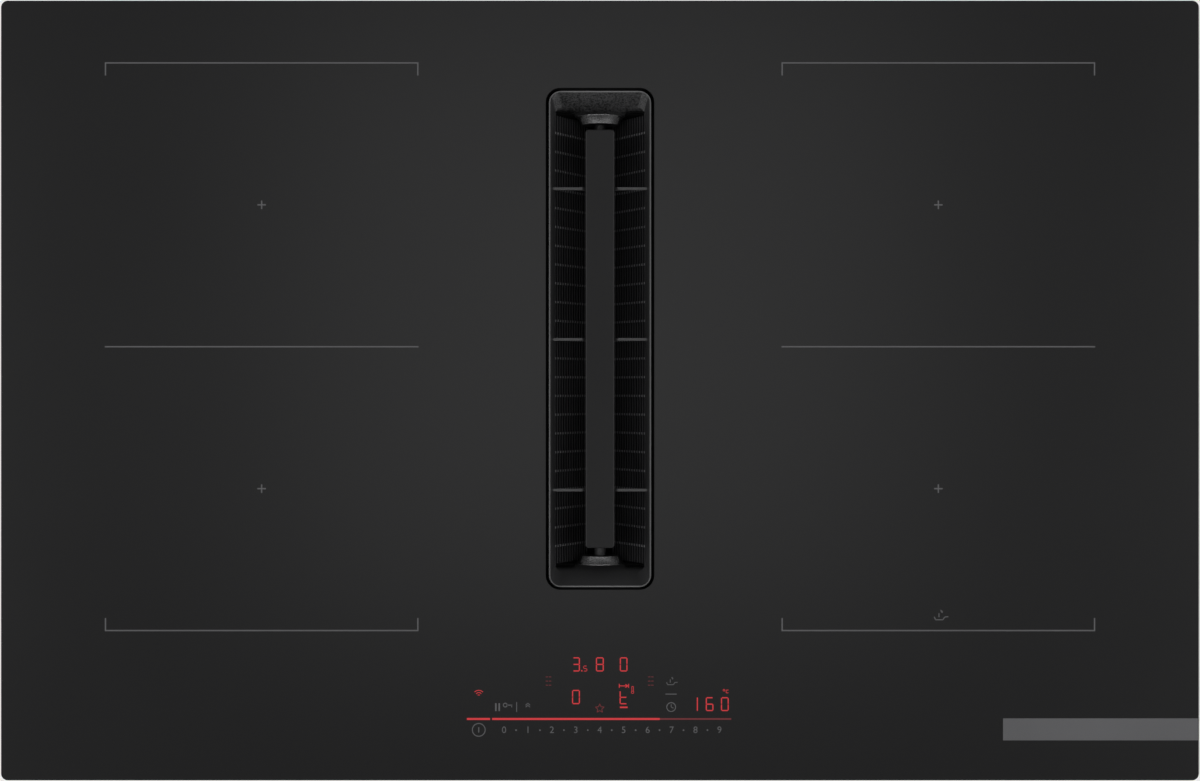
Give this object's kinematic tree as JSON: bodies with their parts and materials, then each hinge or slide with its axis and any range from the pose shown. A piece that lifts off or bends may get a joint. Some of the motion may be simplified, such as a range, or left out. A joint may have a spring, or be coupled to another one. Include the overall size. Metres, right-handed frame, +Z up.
{
  "type": "downdraft induction cooktop",
  "caption": "Black glass induction cooktop with a long middle intake, lift-out grille and filter, blower and flat duct outlet below.",
  "frame": {"origin": "on the worktop's top, under the middle of the glass plate", "axes": "+X right, +Y rear, +Z up, seen by the cook who stands at the front"},
  "size_m": [0.802, 0.522, 0.2231],
  "materials": {
    "glass_ceramic": "smooth black glass-ceramic",
    "screen_print": "fired grey print",
    "foam_tape": "closed-cell foam",
    "galvanised_sheet": "galvanised sheet steel",
    "black_moulding": "moulded black plastic",
    "cast_black": "sandblasted cast metal, black coat",
    "coated_bar": "fine matt black coat",
    "stamped_steel": "stamped sheet, black coat",
    "pressed_aluminium": "pressed aluminium",
    "copper_winding": "wound litz copper",
    "pale_moulding": "moulded heat-proof plastic",
    "ferrite": "sintered ferrite",
    "mica": "pressed mica sheet",
    "circuit_board": "green solder mask",
    "capacitor_sleeve": "shrunk film sleeve",
    "turned_steel": "turned steel",
    "motor_iron": "varnished laminations",
    "zinc_screw": "zinc-plated steel"
  },
  "bodies": {
    "root": {"glass_plate": "glass_ceramic", "zone_marks": "screen_print", "label_band": "screen_print", "sealing_tape": "foam_tape", "support_frame": "galvanised_sheet", "base_tray": "galvanised_sheet", "vent_collar": "black_moulding", "intake_shaft": "black_moulding", "plenum_housing": "black_moulding", "plenum_cover": "black_moulding", "inlet_ring": "pressed_aluminium", "blower_housing": "black_moulding", "outlet_spigot": "black_moulding", "motor_stator": "motor_iron", "motor_bearings": "turned_steel", "tank_rails": "black_moulding", "insulation_sheets": "mica", "ferrite_bars": "ferrite", "temperature_sensors": "pale_moulding", "coil_plate_left": "pressed_aluminium", "coil_plate_right": "pressed_aluminium", "power_board_left": "circuit_board", "power_board_right": "circuit_board", "heat_sink_left": "pressed_aluminium", "heat_sink_right": "pressed_aluminium", "capacitors": "capacitor_sleeve", "board_standoffs": "pale_moulding", "mains_filter_board": "circuit_board", "fan_housing_left": "black_moulding", "fan_housing_right": "black_moulding", "touch_board": "circuit_board", "display_carrier": "pale_moulding", "terminal_box": "pale_moulding", "terminal_block": "pale_moulding", "terminal_hinge_pin": "turned_steel", "cable_gland": "black_moulding", "worktop_clamps": "galvanised_sheet", "casing_screws": "zinc_screw", "housing_screws": "zinc_screw", "coil_rear_left": "copper_winding", "carrier_rear_left": "pale_moulding", "coil_front_left": "copper_winding", "carrier_front_left": "pale_moulding", "coil_rear_right": "copper_winding", "carrier_rear_right": "pale_moulding", "coil_front_right": "copper_winding", "carrier_front_right": "pale_moulding"},
    "grille": {"grille_frame": "cast_black", "grille_bar": "coated_bar"},
    "filter_insert": {"filter_flange": "stamped_steel", "filter_panel_left": "stamped_steel", "filter_panel_right": "stamped_steel", "filter_trough": "stamped_steel", "filter_end_caps": "stamped_steel"},
    "overflow_tank": {"overflow_tank": "black_moulding"},
    "impeller": {"impeller": "black_moulding", "motor_shaft": "turned_steel"},
    "fan_left": {"fan_rotor_left": "black_moulding"},
    "fan_right": {"fan_rotor_right": "black_moulding"},
    "terminal_cover": {"terminal_cover": "pale_moulding"}
  },
  "joints": [
    {"name": "filter_lift", "type": "slide", "parent": "root", "child": "filter_insert", "axis": [0, 0, 1], "range_m": [0, 0.17]},
    {"name": "grille_lift", "type": "slide", "parent": "filter_insert", "child": "grille", "axis": [0, 0, 1], "range_m": [0, 0.08]},
    {"name": "tank_slide", "type": "slide", "parent": "root", "child": "overflow_tank", "axis": [0, -1, 0], "range_m": [0, 0.3]},
    {"name": "blower_spin", "type": "hinge", "parent": "root", "child": "impeller", "pos_m": [0.19, 0.01, -0.18], "axis": [0, 0, 1], "continuous": true},
    {"name": "fan_left_spin", "type": "hinge", "parent": "root", "child": "fan_left", "pos_m": [-0.2265, -0.1947, -0.04], "axis": [0, 0, 1], "continuous": true},
    {"name": "fan_right_spin", "type": "hinge", "parent": "root", "child": "fan_right", "pos_m": [0.2265, -0.1947, -0.04], "axis": [0, 0, 1], "continuous": true},
    {"name": "terminal_cover_hinge", "type": "hinge", "parent": "root", "child": "terminal_cover", "pos_m": [-0.2885, 0.166, -0.0813], "axis": [-1, 0, 0], "range_deg": [0, 100]}
  ]
}
